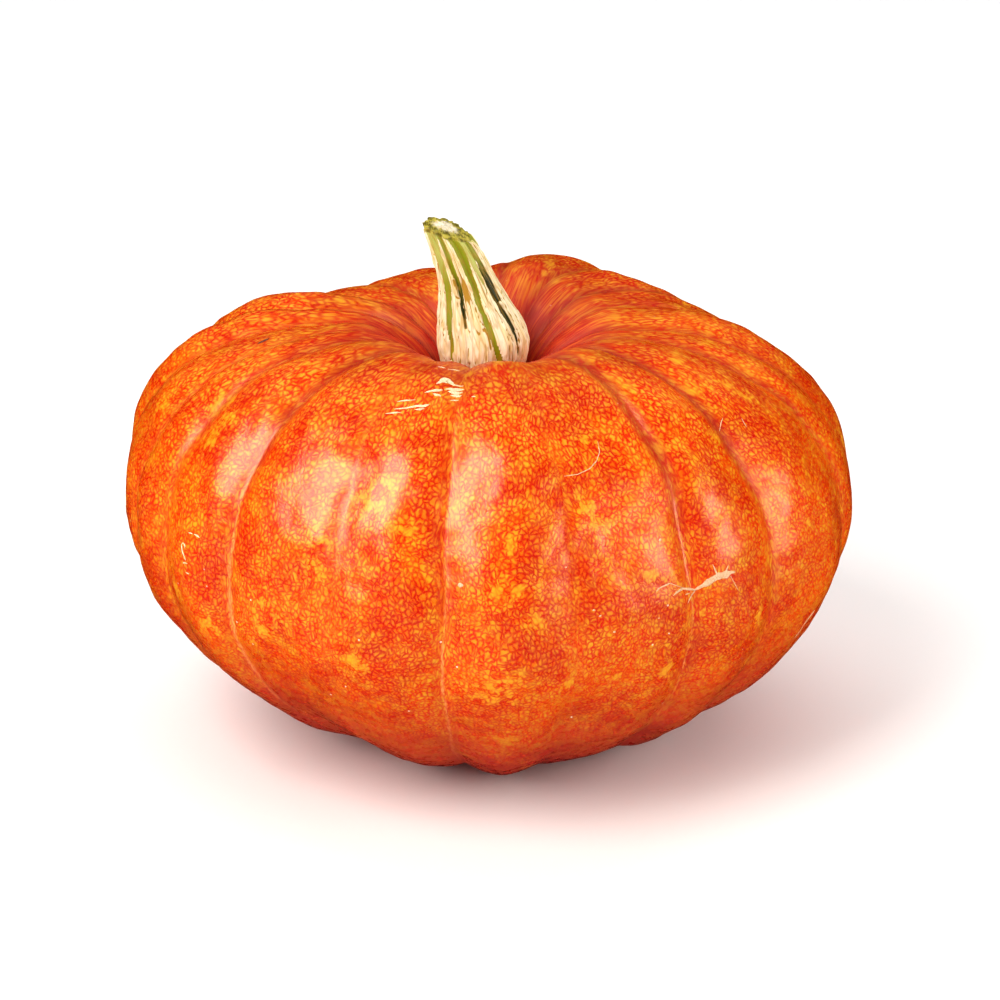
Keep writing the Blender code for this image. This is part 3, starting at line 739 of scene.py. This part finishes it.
marks = {
    "sides": 10, "pieceLength": 0.0004, "lift": 0.00022, "ragged": 0.35,
    "scar": linearColour("EDC6A0"), "scarDark": linearColour("BE8252"), "roughness": 0.7,
    "cork": linearColour("F8E6C0"), "corkDark": linearColour("C89A5A"),
    "nick": linearColour("7A4038"), "nickDark": linearColour("3A1C20"),
    "roughnessRange": (0.6, 0.8), "bumpStrength": 0.4, "bumpDistance": 0.00015,
    "knotSpacing": 0.0011,
    # each stroke: azimuth, station and half width in millimetres of its points in turn
    "corkPatch": (
        ((-104.6, 1.118, 0.1), (-103.4, 1.094, 1.3), (-102.3, 1.084, 1.9), (-101.2, 1.090, 1.5),
         (-100.0, 1.098, 0.5), (-98.6, 1.092, 0.45), (-97.2, 1.092, 0.1)),
        ((-102.0, 1.136, 0.1), (-100.9, 1.128, 0.8), (-99.6, 1.122, 0.9), (-98.2, 1.113, 0.9),
         (-96.9, 1.115, 0.2)),
        ((-101.0, 1.142, 0.1), (-100.0, 1.140, 0.9), (-98.9, 1.138, 1.2), (-97.8, 1.132, 0.7),
         (-97.2, 1.130, 0.1)),
        ((-100.2, 1.160, 0.1), (-99.0, 1.155, 0.9), (-97.9, 1.152, 0.5), (-97.3, 1.150, 0.1)),
        ((-106.6, 1.170, 0.1), (-105.4, 1.162, 0.5), (-104.2, 1.154, 0.8), (-103.2, 1.148, 0.9),
         (-102.4, 1.142, 0.2)),
        ((-104.4, 1.170, 0.1), (-103.6, 1.174, 0.9), (-102.8, 1.172, 0.5), (-102.3, 1.176, 0.1)),
        ((-99.9, 1.184, 0.1), (-98.9, 1.178, 0.5), (-97.9, 1.172, 0.1)),
        ((-94.8, 1.172, 0.1), (-94.2, 1.174, 0.4), (-93.8, 1.178, 0.1)),
    ),
    "scratches": (
        ((-112.5, 1.216, 0.1), (-110.4, 1.210, 0.4), (-108.1, 1.206, 0.1)),
        ((-112.3, 1.250, 0.1), (-109.5, 1.244, 0.5), (-107.1, 1.234, 0.45), (-105.6, 1.234, 0.7),
         (-104.4, 1.222, 0.1)),
        ((-107.4, 1.250, 0.1), (-106.3, 1.248, 0.6), (-105.2, 1.242, 0.1)),
        ((-114.0, 1.268, 0.1), (-112.1, 1.266, 0.45), (-110.2, 1.264, 0.1)),
        ((-107.9, 1.014, 0.1), (-106.6, 1.010, 0.35), (-105.2, 1.008, 0.1)),
        ((-104.4, 1.008, 0.1), (-102.1, 1.000, 0.35), (-100.2, 0.982, 0.1)),
    ),
    "branchScar": (
        ((-47.4, 1.873, 0.3), (-48.2, 1.870, 1.0), (-49.2, 1.872, 1.4), (-50.7, 1.872, 1.35),
         (-52.0, 1.878, 1.2), (-53.2, 1.886, 0.95), (-54.3, 1.892, 0.7), (-55.3, 1.898, 0.5),
         (-55.9, 1.894, 0.42), (-58.0, 1.882, 0.4), (-59.2, 1.886, 0.35), (-60.2, 1.893, 0.1)),
        ((-55.1, 1.897, 0.1), (-55.5, 1.905, 0.35), (-56.3, 1.917, 0.32), (-57.1, 1.930, 0.1)),
        ((-57.8, 1.881, 0.1), (-60.5, 1.856, 0.15), (-61.2, 1.858, 0.3), (-62.7, 1.862, 0.32),
         (-63.4, 1.869, 0.1)),
        ((-56.4, 1.904, 0.1), (-57.0, 1.903, 0.25), (-57.5, 1.902, 0.1)),
        ((-50.8, 1.871, 0.3), (-50.9, 1.860, 0.35), (-51.1, 1.848, 0.3), (-51.3, 1.834, 0.1)),
        ((-49.1, 1.871, 0.3), (-49.0, 1.862, 0.35), (-48.4, 1.848, 0.1)),
        ((-48.4, 1.880, 0.1), (-48.0, 1.900, 0.15), (-47.4, 1.928, 0.08)),
    ),
    "leftNicks": (
        ((-145.6, 1.876, 0.1), (-145.9, 1.884, 0.35), (-145.5, 1.897, 0.35), (-144.6, 1.912, 0.3),
         (-144.3, 1.918, 0.1)),
        ((-145.6, 1.876, 0.1), (-145.0, 1.880, 0.3), (-144.9, 1.888, 0.1)),
        ((-145.0, 1.930, 0.1), (-144.5, 1.926, 0.4), (-143.8, 1.924, 0.1)),
        ((-144.2, 1.950, 0.1), (-143.8, 1.950, 0.35), (-143.4, 1.950, 0.1)),
        ((-144.6, 1.840, 0.1), (-144.0, 1.838, 0.3), (-143.6, 1.838, 0.1)),
        ((-143.2, 1.836, 0.1), (-142.4, 1.836, 0.4), (-141.8, 1.838, 0.1)),
    ),
    "arcScratch": (
        ((-76.1, 1.492, 0.1), (-73.3, 1.492, 0.16), (-70.5, 1.478, 0.18), (-68.6, 1.455, 0.16),
         (-67.2, 1.425, 0.16), (-66.6, 1.386, 0.1)),
    ),
    "paleDots": (
        ((-95.5, 1.800, 0.3), (-95.0, 1.800, 1.3), (-94.5, 1.800, 0.3)),
        ((-60.9, 1.732, 0.1), (-60.6, 1.728, 0.5), (-60.3, 1.724, 0.1)),
        ((-78.1, 1.760, 0.1), (-77.9, 1.762, 0.35), (-77.7, 1.760, 0.1)),
        ((-73.6, 1.908, 0.1), (-73.4, 1.906, 0.4), (-73.2, 1.904, 0.1)),
        ((-74.5, 1.890, 0.1), (-74.3, 1.888, 0.4), (-74.1, 1.890, 0.1)),
        ((-71.3, 1.957, 0.1), (-71.1, 1.955, 0.4), (-70.9, 1.957, 0.1)),
        ((-63.4, 1.945, 0.1), (-63.2, 1.944, 0.35), (-63.0, 1.945, 0.1)),
    ),
    "fibres": (
        ((-31.3, 1.456, 0.1), (-31.6, 1.472, 0.2), (-31.7, 1.486, 0.1)),
        ((-35.2, 1.426, 0.1), (-36.4, 1.438, 0.22), (-37.7, 1.458, 0.1)),
        ((-27.6, 2.254, 0.1), (-27.0, 2.204, 0.3), (-26.0, 2.186, 0.4), (-25.0, 2.174, 0.1)),
    ),
    "darkNick": (
        ((-170.9, 1.224, 0.1), (-171.2, 1.215, 0.5), (-171.6, 1.200, 0.6), (-171.9, 1.188, 0.1)),
    ),
}


def makeScarTissue(name, light, dark):
    # a matt skin, mottled and split from the light colour towards the dark one
    material, tree, shader = newMaterial(name, marks["roughness"], 1.45)
    place = addNode(tree, "TexCoord", {}).outputs["Object"]
    mottle = useGroup(tree, "tone", place, Scale=700.0, Detail=3.0, Low=0.4, High=0.7)
    splits = useGroup(tree, "net", place, Scale=900.0, Wander=1.2, Line=0.12)
    shade = calculate(tree, "MAXIMUM", calculate(tree, "MULTIPLY", mottle, 0.5),
                      calculate(tree, "MULTIPLY", splits, 0.45))
    colour = blendColours(tree, shade, light, dark)
    roughness = remap(tree, mottle, 0.0, 1.0, *marks["roughnessRange"])
    height = calculate(tree, "MULTIPLY_ADD", splits, -0.5, mottle)
    finishMaterial(tree, shader, colour, roughness, height,
                   marks["bumpStrength"], marks["bumpDistance"])
    return material


def unevenAlong(random, length, at):
    # random numbers from -1 to 1 every millimetre or so along a line, joined by straight runs
    knots = np.linspace(0, length, max(3, int(length / marks["knotSpacing"])))
    return np.interp(at, knots, random.uniform(-1, 1, len(knots)))


def makeMarks(name, material, seed, slot="bark"):
    # each stroke is a flat tube on the skin: an ellipse carried along the stroke's curve
    allPoints, allFaces, start = [], [], 0
    random = np.random.default_rng(seed)
    for stroke in marks[name]:
        rows = np.array(stroke, dtype=float)
        azimuth, station = np.radians(rows[:, 0]), rows[:, 1]
        knots = fruitPoints(azimuth, station)
        travel = np.concatenate([[0], np.cumsum(np.linalg.norm(np.diff(knots, axis=0), axis=1))])
        count = max(6, int(travel[-1] / marks["pieceLength"]))
        at = np.linspace(0, travel[-1], count)
        azimuth, station = np.interp(at, travel, azimuth), np.interp(at, travel, station)
        half = np.interp(at, travel, rows[:, 2]) * mm
        half = half * (1 + marks["ragged"] * unevenAlong(random, travel[-1], at))
        centre, up = fruitPoints(azimuth, station), fruitNormals(azimuth, station)
        ahead = np.gradient(centre, axis=0)
        side = np.cross(up, ahead)
        side /= np.maximum(np.linalg.norm(side, axis=1, keepdims=True), 1e-9)
        angle = 2 * math.pi * np.arange(marks["sides"]) / marks["sides"]
        lift = np.minimum(marks["lift"], 0.6 * half) * (1 + 0.3 * unevenAlong(random, travel[-1], at))
        ring = (centre[:, None] + side[:, None] * (half[:, None] * np.cos(angle))[..., None]
                + up[:, None] * (lift[:, None] * np.sin(angle))[..., None])
        allPoints.append(withPoles(ring))
        allFaces += tubeFaces(count, marks["sides"], start)
        start += count * marks["sides"] + 2
    return newPiece(name, np.concatenate(allPoints), allFaces, material, slot)


healed = makeScarTissue("healedScar", marks["scar"], marks["scarDark"])
corky = makeScarTissue("corkySkin", marks["cork"], marks["corkDark"])
nicked = makeScarTissue("driedNick", marks["nick"], marks["nickDark"])
for seed, (name, material) in enumerate((
        ("corkPatch", corky), ("scratches", corky), ("branchScar", healed), ("leftNicks", corky),
        ("arcScratch", healed), ("paleDots", healed), ("fibres", healed), ("darkNick", nicked)),
        start=41):
    makeMarks(name, material, seed)
print("marks made")


studio = {
    "floorColour": linearColour("FEFEFE"), "floorShade": linearColour("F2F2F2"), "floorSize": 8.0,
    "worldColour": linearColour("FFFFFF"), "worldStrength": 0.36,
    # soft boxes: azimuth from the camera towards +X, elevation, distance, width, height, watts,
    # colour, and whether they light the matt part of a surface or show in its gloss
    "boxes": (
        ("leftBox", -50, 42, 1.7, 0.9, 1.5, 24, "FFFCF6", "matt"),
        ("rightBox", 70, 24, 1.7, 1.6, 0.8, 12, "FFFCF6", "matt"),
        ("floorWash", 180, 50, 2.6, 4.0, 2.4, 34, "FFFFFF", "matt"),
        ("leftGleam", -49.5, 41, 1.7, 1.15, 1.7, 58, "FFE6CE", "gloss"),
        ("rightGleam", 62, 12, 1.7, 0.7, 0.8, 15, "FFE6C6", "gloss"),
        ("backGleam", 180, 30, 2.2, 3.4, 1.6, 1.0, "FFF0F0", "gloss"),
    ),
    # the camera looks along +Y and down, at the middle of the photograph
    "target": (0.00405, 0.00505, 0.0891), "distance": 1.150, "elevation": 22.6, "lens": 103.26,
}


def makeFloor():
    # a pale square under the object
    material, tree, shader = newMaterial("paleFloor", 0.6)
    place = addNode(tree, "TexCoord", {}).outputs["Object"]
    tone = useGroup(tree, "tone", place, Scale=3.0, Detail=2.0, Low=0.3, High=0.7)
    colour = blendColours(tree, calculate(tree, "MULTIPLY", tone, 0.02), studio["floorColour"],
                          studio["floorShade"])
    tree.links.new(colour, shader.inputs["Base Color"])
    half = studio["floorSize"] / 2
    corners = [(-half, -half, 0), (half, -half, 0), (half, half, 0), (-half, half, 0)]
    mesh = bpy.data.meshes.new("floor")
    mesh.from_pydata(corners, [], [(0, 1, 2, 3)])
    mesh.materials.append(material)
    floor = bpy.data.objects.new("floor", mesh)
    bpy.context.scene.collection.objects.link(floor)
    floor.visible_glossy = False  # so that the rind doesn't mirror it


def directionFrom(azimuth, elevation):
    # from the object: azimuth 0 is towards the camera, positive is towards +X
    a, e = math.radians(azimuth), math.radians(elevation)
    return np.array([math.sin(a) * math.cos(e), -math.cos(a) * math.cos(e), math.sin(e)])


def makeLights():
    # an even pale room and the soft boxes, each turned towards the middle of the object
    world = bpy.data.worlds.new("paleRoom")
    world.use_nodes = True
    background = world.node_tree.nodes["Background"]
    background.inputs["Color"].default_value = studio["worldColour"]
    background.inputs["Strength"].default_value = studio["worldStrength"]
    world.cycles_visibility.glossy = False  # so that the rind keeps its deep colour
    bpy.context.scene.world = world
    middle = np.array(studio["target"])
    for name, azimuth, elevation, distance, width, tall, watts, tint, part in studio["boxes"]:
        light = bpy.data.lights.new(name, "AREA")
        light.shape, light.size, light.size_y, light.energy = "RECTANGLE", width, tall, watts
        light.color = linearColour(tint)[:3]
        lamp = bpy.data.objects.new(name, light)
        bpy.context.scene.collection.objects.link(lamp)
        lamp.location = middle + distance * directionFrom(azimuth, elevation)
        lamp.rotation_euler = (math.radians(90 - elevation), 0, math.radians(azimuth))
        lamp.visible_glossy = part == "gloss"
        lamp.visible_diffuse = part == "matt"


def makeCamera():
    camera = bpy.data.cameras.new("camera")
    camera.sensor_width, camera.lens = 36.0, studio["lens"]
    viewer = bpy.data.objects.new("camera", camera)
    bpy.context.scene.collection.objects.link(viewer)
    viewer.location = np.array(studio["target"]) + studio["distance"] * directionFrom(
        0, studio["elevation"])
    viewer.rotation_euler = (math.radians(90 - studio["elevation"]), 0, 0)
    bpy.context.scene.camera = viewer


makeFloor()
makeLights()
makeCamera()
bpy.context.scene.view_settings.view_transform = "Standard"
bpy.context.scene.view_settings.look = "Medium High Contrast"
print("studio made")
